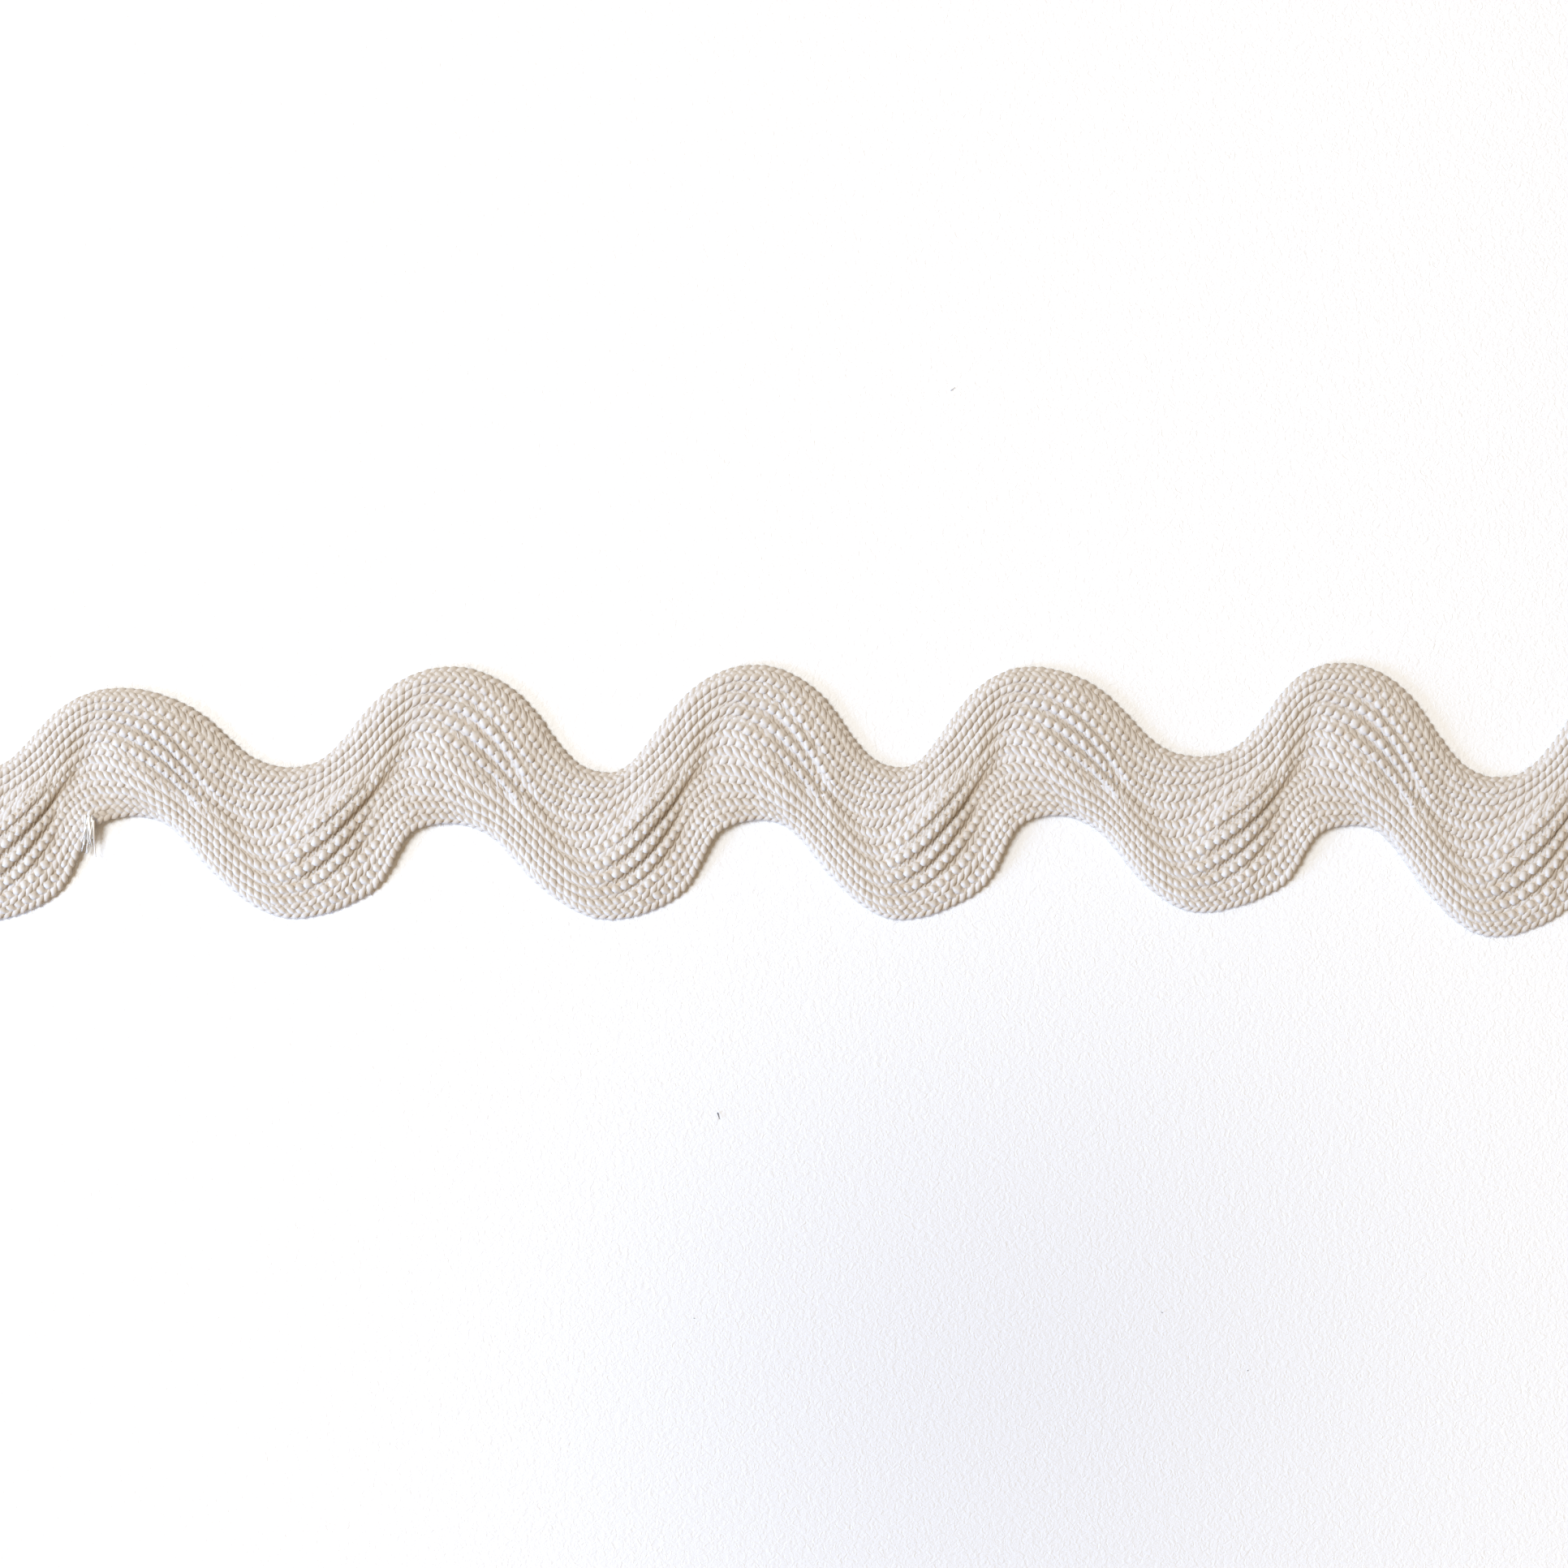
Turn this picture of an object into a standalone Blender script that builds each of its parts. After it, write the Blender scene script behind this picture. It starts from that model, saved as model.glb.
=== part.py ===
"""A cut length of wide ric rac trim: a flat braid pulled into a zigzag, lying flat on a table.

Units are metres. +X runs along the strip, +Y across it and +Z is up. The origin lies under the
middle of the strip's box. The strip is one piece, so it is one closed solid.
"""
import math
from typing import NamedTuple

import bmesh
import bpy
import numpy as np

MM = 0.001

# Driving sizes in millimetres.
BRAID_THICKNESS = 1.35
RIBS_ACROSS = 11
RIB_HEIGHT = 0.26
MIDDLE_CROWN = 0.15
EDGE_HEIGHT = 0.75
EDGE_UNDERCUT = 0.15
EDGE_UNDERSIDE = 0.30
FLAT_INSET = 0.90
ARCH_LIFT = 0.50
CREASE_DEPTH = 0.30

# Faces that meet at more than this many degrees keep a crisp edge, so that the ribs show.
RIB_SHARP_ANGLE = 18.0

# Steps along the strip between one turn of the zigzag and the next.
STEPS_PER_TURN = 15
ARC_SAMPLES = 80

# How a row of stitches strays from a fixed share of the width on its way round each wave.
ROW_DRIFT = 0.15
ROW_DRIFT_LEAD = 0.03
ROW_HOLD = 1.8
LOOSE_ROWS_START = 0.50
LOOSE_ROWS_FULL = 0.85
ROW_SPREAD = 0.012
ROW_SPREAD_WAVE = 0.035

# Where the loose folds and the creases lie, as shares of a turn along and of the width across.
FOLD_CENTRE_ALONG = 0.22
FOLD_HALF_LENGTH = 0.42
FOLD_CENTRE_ACROSS = 0.64
FOLD_HALF_WIDTH = 0.32
CREASE_CENTRE_ALONG = 0.51
CREASE_HALF_LENGTH = 0.36
CREASE_ACROSS = 0.64
CREASE_HALF_WIDTH = 0.07
FALLING_CREASE_SHARE = 0.5
ARCH_LIFT_CENTRE = -0.25
ARCH_LIFT_HALF_LENGTH = 0.40
ARCH_LIFT_START = 0.70


class Turn(NamedTuple):
    """A turn of the zigzag. Each edge is given where it turns, in millimetres from the middle.

    top_middle and bottom_middle are the share of the way to the next turn at which that edge is
    half way up or down. fold is how far the loose folds at this turn stand up, in millimetres.
    """

    top_x: float
    top_y: float
    bottom_x: float
    bottom_y: float
    top_middle: float
    bottom_middle: float
    fold: float


# Peaks and troughs by turns, from the left. The first one is a peak.
TURNS = (
    Turn(-142.6, 18.9, -141.4, -3.8, 0.60, 0.37, 0.48),
    Turn(-120.1, 3.5, -119.5, -19.1, 0.36, 0.59, 0.67),
    Turn(-99.4, 15.7, -97.2, -3.4, 0.60, 0.34, 0.58),
    Turn(-73.6, 3.8, -73.6, -18.8, 0.39, 0.63, 0.67),
    Turn(-49.5, 18.9, -50.1, -4.5, 0.60, 0.39, 0.38),
    Turn(-26.1, 3.0, -26.1, -19.0, 0.32, 0.59, 0.80),
    Turn(-4.1, 19.2, -3.2, -4.0, 0.60, 0.35, 0.35),
    Turn(17.8, 3.8, 17.5, -19.0, 0.34, 0.63, 0.83),
    Turn(37.3, 18.9, 41.3, -3.3, 0.57, 0.44, 0.54),
    Turn(62.8, 5.4, 62.8, -17.9, 0.48, 0.63, 0.74),
    Turn(83.9, 19.5, 86.0, -4.8, 0.57, 0.34, 0.48),
    Turn(107.7, 2.3, 106.7, -21.6, 0.40, 0.60, 0.70),
    Turn(130.8, 18.6, 130.8, -4.0, 0.60, 0.36, 0.45),
    Turn(153.3, 3.3, 153.3, -19.1, 0.36, 0.60, 0.64),
)

# The strip is cut half way down the first fall and half way down the last one.
CUT_START = 0.5
CUT_END = len(TURNS) - 1.5


class EdgeForm(NamedTuple):
    """How an edge eases from one turn to the next: how steep its middle is, and how much is plain sine."""

    steepness: float
    sine_share: float


TOP_RISING = EdgeForm(2.6, 0.44)
TOP_FALLING = EdgeForm(2.8, 0.63)
BOTTOM_RISING = EdgeForm(5.0, 0.51)
BOTTOM_FALLING = EdgeForm(4.3, 0.83)


def clear_scene():
    for scene_object in list(bpy.data.objects):
        bpy.data.objects.remove(scene_object, do_unlink=True)


def ease(share, middle, form):
    """Go from 0 to 1, with the half way point at share == middle."""
    skewed = share ** (math.log(0.5) / math.log(middle))
    steep = skewed ** form.steepness
    steep = steep / (steep + (1.0 - skewed) ** form.steepness)
    sine = 0.5 - 0.5 * np.cos(np.pi * share)
    return (1.0 - form.sine_share) * steep + form.sine_share * sine


def trace_edge(points, middles, rising_form, falling_form):
    """Return the edge at every step along the strip, evenly spaced between its turns."""
    share = np.linspace(0.0, 1.0, ARC_SAMPLES)
    along = np.linspace(CUT_START, CUT_END, step_count() + 1)
    traced = np.empty((len(along), 2))
    for index, (start, end) in enumerate(zip(points[:-1], points[1:])):
        form = rising_form if end[1] > start[1] else falling_form
        x = start[0] + (end[0] - start[0]) * share
        y = start[1] + (end[1] - start[1]) * ease(share, middles[index], form)
        arc = np.concatenate(([0.0], np.cumsum(np.hypot(np.diff(x), np.diff(y)))))
        arc /= arc[-1]
        here = (along >= index) & (along <= index + 1)
        traced[here, 0] = np.interp(along[here] - index, arc, x)
        traced[here, 1] = np.interp(along[here] - index, arc, y)
    return traced


def step_count():
    return round((CUT_END - CUT_START) * STEPS_PER_TURN)


def hump(offset, half_width):
    """A smooth hump of height 1 that reaches 0 at half_width."""
    nearness = min(abs(offset) / half_width, 1.0)
    return 0.5 + 0.5 * math.cos(math.pi * nearness)


def is_peak(turn_index):
    return turn_index % 2 == 0


def smooth_step(value, start, stop):
    share = min(max((value - start) / (stop - start), 0.0), 1.0)
    return share * share * (3.0 - 2.0 * share)


def row_swing(column, along):
    """How far a row has swung towards the bottom edge, from -1 to 1.

    The tight rows swing over quickly at a turn and then hold their place to the next one. The
    loose rows on the other side swing late, to a peak in the middle of the straight stretch.
    """
    wave = math.sin(math.pi * (along + ROW_DRIFT_LEAD))
    held = math.tanh(ROW_HOLD * wave) / math.tanh(ROW_HOLD)
    peaked = wave * math.sqrt(abs(wave))
    outer = 1.0 - column if wave > 0.0 else column
    looseness = smooth_step(outer, LOOSE_ROWS_START, LOOSE_ROWS_FULL)
    return held + (peaked - held) * looseness


def share_across(column, along):
    """Where a row of stitches lies across the strip, from 0 at the top edge to 1 at the bottom."""
    drift = ROW_DRIFT * row_swing(column, along)
    spread = ROW_SPREAD + ROW_SPREAD_WAVE * math.cos(2.0 * math.pi * along)
    bulge = drift * math.sin(math.pi * column) - spread * math.sin(2.0 * math.pi * column)
    return column + bulge


def mirrored(column, turn_index):
    """Rows are counted from the inner side of each turn, so that peaks and troughs match."""
    return 1.0 - column if is_peak(turn_index) else column


def fold_height(column, along):
    """The loose folds that stand up on the outer side of each turn, just past it."""
    height = 0.0
    for index, turn in enumerate(TURNS):
        near_turn = hump(along - index - FOLD_CENTRE_ALONG, FOLD_HALF_LENGTH)
        outer = hump(mirrored(column, index) - FOLD_CENTRE_ACROSS, FOLD_HALF_WIDTH)
        height += turn.fold * near_turn * outer
    return height


class Swell(NamedTuple):
    """A broad rise or dip that comes back at every turn. Its centre and half sizes are shares."""

    along: float
    half_length: float
    across: float
    half_width: float
    trough_height: float
    peak_height: float


SWELLS = (
    Swell(0.18, 0.34, 0.58, 0.42, 0.38, 0.0),
    Swell(0.36, 0.40, 0.78, 0.32, 0.0, 0.26),
    Swell(0.04, 0.32, 0.38, 0.32, 0.0, 0.38),
    Swell(-0.27, 0.30, 0.35, 0.32, -0.24, 0.0),
    Swell(-0.26, 0.22, 0.46, 0.34, 0.0, -0.34),
    Swell(0.10, 0.20, 0.74, 0.24, -0.32, 0.0),
    Swell(0.48, 0.50, 0.84, 0.27, 0.22, 0.22),
)


def swell_height(column, along):
    """Broad swells: the cloth dips before each turn, rises at it and puffs up where it is loose."""
    height = 0.0
    for index in range(len(TURNS)):
        across = mirrored(column, index)
        for swell in SWELLS:
            near = hump(along - index - swell.along, swell.half_length)
            line = hump(across - swell.across, swell.half_width)
            full = swell.peak_height if is_peak(index) else swell.trough_height
            height += full * near * line
    return height


def crease_depth(column, along):
    """The crease in each straight stretch, between its tight rows and its loose ones."""
    depth = 0.0
    for index in range(len(TURNS)):
        near = hump(along - index - CREASE_CENTRE_ALONG, CREASE_HALF_LENGTH)
        line = hump(mirrored(column, index) - CREASE_ACROSS, CREASE_HALF_WIDTH)
        strength = FALLING_CREASE_SHARE if is_peak(index) else 1.0
        depth += CREASE_DEPTH * strength * near * line
    return depth


def arch_lift(column, along):
    """The bottom edge stands off the table on the left side of each arch."""
    lift = 0.0
    for index in range(0, len(TURNS), 2):
        lift += ARCH_LIFT * hump(along - index - ARCH_LIFT_CENTRE, ARCH_LIFT_HALF_LENGTH)
    reach = max((column - ARCH_LIFT_START) / (1.0 - ARCH_LIFT_START), 0.0)
    return lift * reach * reach


def top_height(line, line_count, along):
    """Height of the face at one of the lines that alternate between grooves and rib crests."""
    column = line / line_count
    lift = arch_lift(column, along)
    if line in (0, line_count):
        return EDGE_HEIGHT + lift
    crown = MIDDLE_CROWN * math.sin(math.pi * column)
    height = BRAID_THICKNESS + crown + swell_height(column, along) + lift
    folds = fold_height(column, along)
    on_crest = line % 2 == 1
    if on_crest:
        height += 0.5 * RIB_HEIGHT + folds
    else:
        height -= 0.5 * RIB_HEIGHT + crease_depth(column, along)
    return height


def section_points(top, bottom, along):
    """One closed cross-section: the ribbed face from top edge to bottom edge, then the underside."""
    line_count = 2 * RIBS_ACROSS
    width = math.dist(top, bottom)
    points = []
    for line in range(line_count + 1):
        share = share_across(line / line_count, along)
        place = top + (bottom - top) * share
        points.append((place[0], place[1], top_height(line, line_count, along)))
    lift = arch_lift(1.0, along)
    for inset, height in (
        (width - EDGE_UNDERCUT, EDGE_UNDERSIDE + lift),
        (width - FLAT_INSET, 0.0),
        (FLAT_INSET, 0.0),
        (EDGE_UNDERCUT, EDGE_UNDERSIDE),
    ):
        place = top + (bottom - top) * (inset / width)
        points.append((place[0], place[1], height))
    return points


def build_strip_mesh():
    top_edge = trace_edge(
        [(turn.top_x, turn.top_y) for turn in TURNS],
        [turn.top_middle for turn in TURNS],
        TOP_RISING,
        TOP_FALLING,
    )
    bottom_edge = trace_edge(
        [(turn.bottom_x, turn.bottom_y) for turn in TURNS],
        [turn.bottom_middle for turn in TURNS],
        BOTTOM_RISING,
        BOTTOM_FALLING,
    )
    edges = np.concatenate((top_edge, bottom_edge))
    centre = 0.5 * (edges.min(axis=0) + edges.max(axis=0))

    mesh = bmesh.new()
    sections = []
    for step in range(step_count() + 1):
        along = CUT_START + step / STEPS_PER_TURN
        points = section_points(top_edge[step] - centre, bottom_edge[step] - centre, along)
        sections.append([mesh.verts.new([value * MM for value in point]) for point in points])
    for near, far in zip(sections[:-1], sections[1:]):
        for index in range(len(near)):
            following = (index + 1) % len(near)
            mesh.faces.new((near[index], near[following], far[following], far[index]))
    mesh.faces.new(reversed(sections[0]))
    mesh.faces.new(sections[-1])
    bmesh.ops.recalc_face_normals(mesh, faces=mesh.faces)
    bmesh.ops.triangulate(mesh, faces=mesh.faces)
    return mesh


def braid_material():
    """Undyed cotton: a warm cream with a dry, matt surface."""
    material = bpy.data.materials.new("cream_cotton_braid")
    material.use_nodes = True
    shader = material.node_tree.nodes["Principled BSDF"]
    shader.inputs["Base Color"].default_value = (0.66, 0.60, 0.53, 1.0)
    shader.inputs["Roughness"].default_value = 0.9
    shader.inputs["Metallic"].default_value = 0.0
    return material


def make_strip():
    strip_mesh = bpy.data.meshes.new("ric_rac_strip")
    built = build_strip_mesh()
    built.to_mesh(strip_mesh)
    built.free()
    strip_mesh.materials.append(braid_material())
    strip_mesh.shade_smooth()
    strip_mesh.set_sharp_from_angle(angle=math.radians(RIB_SHARP_ANGLE))
    strip = bpy.data.objects.new("ric_rac_strip", strip_mesh)
    bpy.context.collection.objects.link(strip)


clear_scene()
make_strip()
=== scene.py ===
"""A cut length of wide cream ric rac lying on a white table, seen from straight above.

Lengths are in millimetres up to the point where a mesh is made, and heights are above the table.
A place on the strip is named by two numbers: along counts turns of the zigzag, with 0 at the first
peak and 1 at the trough after it, and column goes from 0 at the top edge to 1 at the bottom edge.
"""
import math
from typing import NamedTuple

import bpy
import numpy as np
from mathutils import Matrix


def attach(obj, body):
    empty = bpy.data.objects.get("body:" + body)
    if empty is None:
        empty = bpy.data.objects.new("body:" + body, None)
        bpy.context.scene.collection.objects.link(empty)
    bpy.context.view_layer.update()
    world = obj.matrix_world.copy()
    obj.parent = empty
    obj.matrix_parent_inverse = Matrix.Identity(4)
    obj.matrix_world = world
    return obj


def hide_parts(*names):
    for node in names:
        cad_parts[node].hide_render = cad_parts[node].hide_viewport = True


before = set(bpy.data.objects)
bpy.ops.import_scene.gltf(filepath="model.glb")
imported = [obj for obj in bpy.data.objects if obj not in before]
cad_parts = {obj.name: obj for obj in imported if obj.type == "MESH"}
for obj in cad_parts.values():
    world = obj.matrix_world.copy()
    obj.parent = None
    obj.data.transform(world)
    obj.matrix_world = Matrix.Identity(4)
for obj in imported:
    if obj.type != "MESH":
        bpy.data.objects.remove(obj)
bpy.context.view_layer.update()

MM = 0.001
RANDOM_SEED = 11
STRIP_NODE = "ric_rac_strip"

# The braid: each yarn runs from edge to edge, over two others and under two.
YARN_COUNT = 45
YARNS_PER_PIECE = 5
STITCH_CROSSINGS = 4
RINGS_PER_STITCH = 8
YARN_SIDES = 6

# The size of a yarn where it is tucked under others and where it floats over them.
TUCKED_WIDTH = 0.62
NARROWEST_FLOAT = 1.16
WIDEST_FLOAT = 1.60
FLOAT_FILL = 1.45
FLOAT_TAPER = 1.1
WIDTH_SMOOTHING = 6
TUCKED_THICKNESS = 0.40
FLOAT_THICKNESS = 0.45
THICKNESS_TAPER = 1.5

# How far a yarn goes up and down, and how it makes way for the set that leads.
WEAVE_HEIGHT = 0.135
WEAVE_SHARPNESS = 2.2
LEAD_LIFT = 0.13
LEAD_SPREAD = 0.20
LEAD_MIDDLE_SHIFT = 0.12
LEAD_CHANGE_WIDTH = 0.10
TIGHT_TAPER = 0.7
LOOSE_LEAD = 0.25

# In the loose folds the floats are longer, wider and flatter, and a yarn's two ends part.
LOOSE_SHARPNESS = 0.6
LOOSE_TAPER = 0.35
LOOSE_WIDENING = 0.15
LOOSE_FLATNESS = 0.55
PARTING_START = 0.12
PARTING_FULL = 0.55
PARTED_RISE = (0.25, -0.42, 0.25, 0.0, 0.0, 0.0)

# The two edges, the cuts, and how unevenly the yarns lie. Wavelengths are in turns.
EDGE_INSET = 0.26
EDGE_TURN = 0.35
EDGE_YARNS = 4.0
EDGE_DROP = 0.32
CUT_RAGGEDNESS = 0.03
CUT_SLACK = 0.3
TABLE_GAP = 0.02
YARN_SWAY = 0.05
YARN_LIFT = 0.03
SWAY_WAVELENGTH = 0.2
WIDTH_WANDER = 0.08
WIDTH_WAVELENGTH = 0.25
TONE_SPREAD = 0.22
TONE_WANDER = 0.12
TONE_WAVELENGTH = 0.6
WANDER_RANGE = (0.6, 1.8)

# Heights of the middle of the cloth, and its folds and creases. They follow the part's solid.
CLOTH_MIDDLE = 0.66
MIDDLE_CROWN = 0.15
FOLD_CENTRE_ALONG = 0.22
FOLD_HALF_LENGTH = 0.42
FOLD_CENTRE_ACROSS = 0.64
FOLD_HALF_WIDTH = 0.32
# The shade value here is painted shade: how much browner the yarns are between the standing rows of the
# folds.
FOLD_PAINTED_SHADE = 0.6
CREASE_DEPTH = 0.45
FALLING_CREASE_SHARE = 0.5
CREASE_CENTRE_ALONG = 0.51
CREASE_HALF_LENGTH = 0.36
CREASE_ACROSS = 0.64
CREASE_HALF_WIDTH = 0.055
# The shade value here is painted shade: how much browner the yarns are in the crease.
CREASE_PAINTED_SHADE = 0.9
ARCH_LIFT = 0.70
ARCH_LIFT_CENTRE = -0.25
ARCH_LIFT_HALF_LENGTH = 0.40
ARCH_LIFT_START = 0.70

# How a row of stitches strays from a fixed share of the width on its way round each wave.
ROW_DRIFT = 0.15
ROW_DRIFT_LEAD = 0.03
ROW_HOLD = 1.8
LOOSE_ROWS_START = 0.50
LOOSE_ROWS_FULL = 0.85
ROW_SPREAD = 0.012
ROW_SPREAD_WAVE = 0.035

# The thin core inside the yarns, which closes the gaps between them. Its darker brown is painted shade.
CORE_BOTTOM = 0.45
CORE_TOP = 0.79
CORE_INSET = 0.45
CORE_STEPS_PER_TURN = 40
CORE_STEPS_ACROSS = 68

ARC_SAMPLES = 80
CUT_SAMPLES = 2000


class Turn(NamedTuple):
    """A turn of the zigzag. Each edge is given where it turns, in millimetres from the middle.

    top_middle and bottom_middle are the share of the way to the next turn at which that edge is
    half way up or down. fold is how far the loose folds at this turn stand up, in millimetres.
    """

    top_x: float
    top_y: float
    bottom_x: float
    bottom_y: float
    top_middle: float
    bottom_middle: float
    fold: float


# Peaks and troughs by turns, from the left. The first one is a peak.
TURNS = (
    Turn(-142.6, 18.9, -141.4, -3.8, 0.60, 0.37, 0.48),
    Turn(-120.1, 3.5, -119.5, -19.1, 0.36, 0.59, 0.67),
    Turn(-99.4, 15.7, -97.2, -3.4, 0.60, 0.34, 0.58),
    Turn(-73.6, 3.8, -73.6, -18.8, 0.39, 0.63, 0.67),
    Turn(-49.5, 18.9, -50.1, -4.5, 0.60, 0.39, 0.38),
    Turn(-26.1, 3.0, -26.1, -19.0, 0.32, 0.59, 0.80),
    Turn(-4.1, 19.2, -3.2, -4.0, 0.60, 0.35, 0.35),
    Turn(17.8, 3.8, 17.5, -19.0, 0.34, 0.63, 0.83),
    Turn(37.3, 18.9, 41.3, -3.3, 0.57, 0.44, 0.54),
    Turn(62.8, 5.4, 62.8, -17.9, 0.48, 0.63, 0.74),
    Turn(83.9, 19.5, 86.0, -4.8, 0.57, 0.34, 0.48),
    Turn(107.7, 2.3, 106.7, -21.6, 0.40, 0.60, 0.70),
    Turn(130.8, 18.6, 130.8, -4.0, 0.60, 0.36, 0.45),
    Turn(153.3, 3.3, 153.3, -19.1, 0.36, 0.60, 0.64),
)
CUT_START = 0.5
CUT_END = len(TURNS) - 1.5


class EdgeForm(NamedTuple):
    """How an edge eases from one turn to the next: how steep its middle is, and how much is plain sine."""

    steepness: float
    sine_share: float


TOP_RISING = EdgeForm(2.6, 0.44)
TOP_FALLING = EdgeForm(2.8, 0.63)
BOTTOM_RISING = EdgeForm(5.0, 0.51)
BOTTOM_FALLING = EdgeForm(4.3, 0.83)


class Edge(NamedTuple):
    """An edge of the strip as matching lists of places along it, x and y."""

    along: np.ndarray
    x: np.ndarray
    y: np.ndarray


def ease(share, middle, form):
    """Go from 0 to 1, with the half way point at share == middle."""
    skewed = share ** (math.log(0.5) / math.log(middle))
    steep = skewed**form.steepness
    steep = steep / (steep + (1.0 - skewed) ** form.steepness)
    sine = 0.5 - 0.5 * np.cos(np.pi * share)
    return (1.0 - form.sine_share) * steep + form.sine_share * sine


def trace_edge(points, middles, rising_form, falling_form):
    """Follow an edge through all its turns, evenly spaced between them by length."""
    share = np.linspace(0.0, 1.0, ARC_SAMPLES)
    along, xs, ys = [], [], []
    for index, (start, end) in enumerate(zip(points[:-1], points[1:])):
        form = rising_form if end[1] > start[1] else falling_form
        x = start[0] + (end[0] - start[0]) * share
        y = start[1] + (end[1] - start[1]) * ease(share, middles[index], form)
        arc = np.concatenate(([0.0], np.cumsum(np.hypot(np.diff(x), np.diff(y)))))
        along.append(index + arc / arc[-1])
        xs.append(x)
        ys.append(y)
    return Edge(np.concatenate(along), np.concatenate(xs), np.concatenate(ys))


def cut_part(edge):
    """The x and y of the part of an edge that lies between the two cuts."""
    places = np.linspace(CUT_START, CUT_END, CUT_SAMPLES)
    return np.interp(places, edge.along, edge.x), np.interp(places, edge.along, edge.y)


TOP_EDGE = trace_edge(
    [(turn.top_x, turn.top_y) for turn in TURNS],
    [turn.top_middle for turn in TURNS],
    TOP_RISING,
    TOP_FALLING,
)
BOTTOM_EDGE = trace_edge(
    [(turn.bottom_x, turn.bottom_y) for turn in TURNS],
    [turn.bottom_middle for turn in TURNS],
    BOTTOM_RISING,
    BOTTOM_FALLING,
)
EDGE_XS, EDGE_YS = np.hstack((cut_part(TOP_EDGE), cut_part(BOTTOM_EDGE)))
CENTRE_X = 0.5 * (EDGE_XS.min() + EDGE_XS.max())
CENTRE_Y = 0.5 * (EDGE_YS.min() + EDGE_YS.max())


def smooth_step(value, start, stop):
    share = np.clip((value - start) / (stop - start), 0.0, 1.0)
    return share * share * (3.0 - 2.0 * share)


def row_swing(along, column):
    """How far a row has swung towards the bottom edge, from -1 to 1.

    The tight rows swing over quickly at a turn and then hold their place to the next one. The
    loose rows on the other side swing late, to a peak in the middle of the straight stretch.
    """
    wave = np.sin(np.pi * (along + ROW_DRIFT_LEAD))
    held = np.tanh(ROW_HOLD * wave) / math.tanh(ROW_HOLD)
    peaked = wave * np.sqrt(np.abs(wave))
    outer = np.where(wave > 0.0, 1.0 - column, column)
    looseness = smooth_step(outer, LOOSE_ROWS_START, LOOSE_ROWS_FULL)
    return held + (peaked - held) * looseness


def share_across(along, column):
    """Where a row of stitches lies across the strip, from 0 at the top edge to 1 at the bottom."""
    drift = ROW_DRIFT * row_swing(along, column)
    spread = ROW_SPREAD + ROW_SPREAD_WAVE * np.cos(2.0 * np.pi * along)
    bulge = drift * np.sin(np.pi * column) - spread * np.sin(2.0 * np.pi * column)
    return column + bulge


def place_on_strip(along, column, inset):
    """The x and y of a place on the strip, with the strip drawn in by inset at both edges."""
    top_x = np.interp(along, TOP_EDGE.along, TOP_EDGE.x) - CENTRE_X
    top_y = np.interp(along, TOP_EDGE.along, TOP_EDGE.y) - CENTRE_Y
    bottom_x = np.interp(along, BOTTOM_EDGE.along, BOTTOM_EDGE.x) - CENTRE_X
    bottom_y = np.interp(along, BOTTOM_EDGE.along, BOTTOM_EDGE.y) - CENTRE_Y
    inset_share = inset / np.hypot(bottom_x - top_x, bottom_y - top_y)
    share = inset_share + (1.0 - 2.0 * inset_share) * share_across(along, column)
    return top_x + (bottom_x - top_x) * share, top_y + (bottom_y - top_y) * share


def hump(offset, half_width):
    """A smooth hump of height 1 that reaches 0 at half_width."""
    nearness = np.minimum(np.abs(offset) / half_width, 1.0)
    return 0.5 + 0.5 * np.cos(np.pi * nearness)


def is_peak(turn_index):
    return turn_index % 2 == 0


def mirrored(column, turn_index):
    """Rows are counted from the inner side of each turn, so that peaks and troughs match."""
    return 1.0 - column if is_peak(turn_index) else column


def row_phase(column):
    """The angle that goes once round for every four crossings on the way across the strip."""
    return 0.5 * np.pi * (column * YARN_COUNT - 0.5)


def row_wave(column):
    """From 1 on the rows where the rising yarns are on top to -1 where the falling ones are."""
    return np.cos(row_phase(column))


def rising_lead(along, column):
    """From 1 where the rising yarns stand out to -1 where the falling ones do.

    In the tight half of each straight stretch one set of yarns hides the other. In the loose half
    the other set stands out a little.
    """
    straightness = np.sin(np.pi * along)
    middle = 0.5 - LEAD_MIDDLE_SHIFT * straightness
    side = np.tanh((middle - column) / LEAD_CHANGE_WIDTH)
    tight = np.clip(-side * straightness, 0.0, 1.0) ** TIGHT_TAPER
    return side * (LOOSE_LEAD + (1.0 - LOOSE_LEAD) * tight)


def fold_share(along, column, index):
    """How much a place belongs to the loose folds of one turn, from 0 to 1."""
    near_turn = hump(along - index - FOLD_CENTRE_ALONG, FOLD_HALF_LENGTH)
    return near_turn * hump(mirrored(column, index) - FOLD_CENTRE_ACROSS, FOLD_HALF_WIDTH)


def fold_height(along, column):
    """The loose folds on the outer side of each turn, where every other row stands up."""
    height = 0.0
    for index, turn in enumerate(TURNS):
        standing = row_wave(column) if is_peak(index) else -row_wave(column)
        height = height + turn.fold * fold_share(along, column, index) * (0.5 + 0.5 * standing)
    return height


def in_folds(along, column):
    """How much a place belongs to the loose folds of any turn, from 0 to 1."""
    return sum(fold_share(along, column, index) for index in range(len(TURNS)))


def in_fold_valleys(along, column):
    """1 deep between the standing rows of the loose folds, and 0 on them and away from them."""
    share = 0.0
    for index in range(len(TURNS)):
        lying = -row_wave(column) if is_peak(index) else row_wave(column)
        share = share + fold_share(along, column, index) * (0.5 + 0.5 * lying)
    return share


class Swell(NamedTuple):
    """A broad rise or dip that comes back at every turn. Its centre and half sizes are shares."""

    along: float
    half_length: float
    across: float
    half_width: float
    trough_height: float
    peak_height: float


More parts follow.
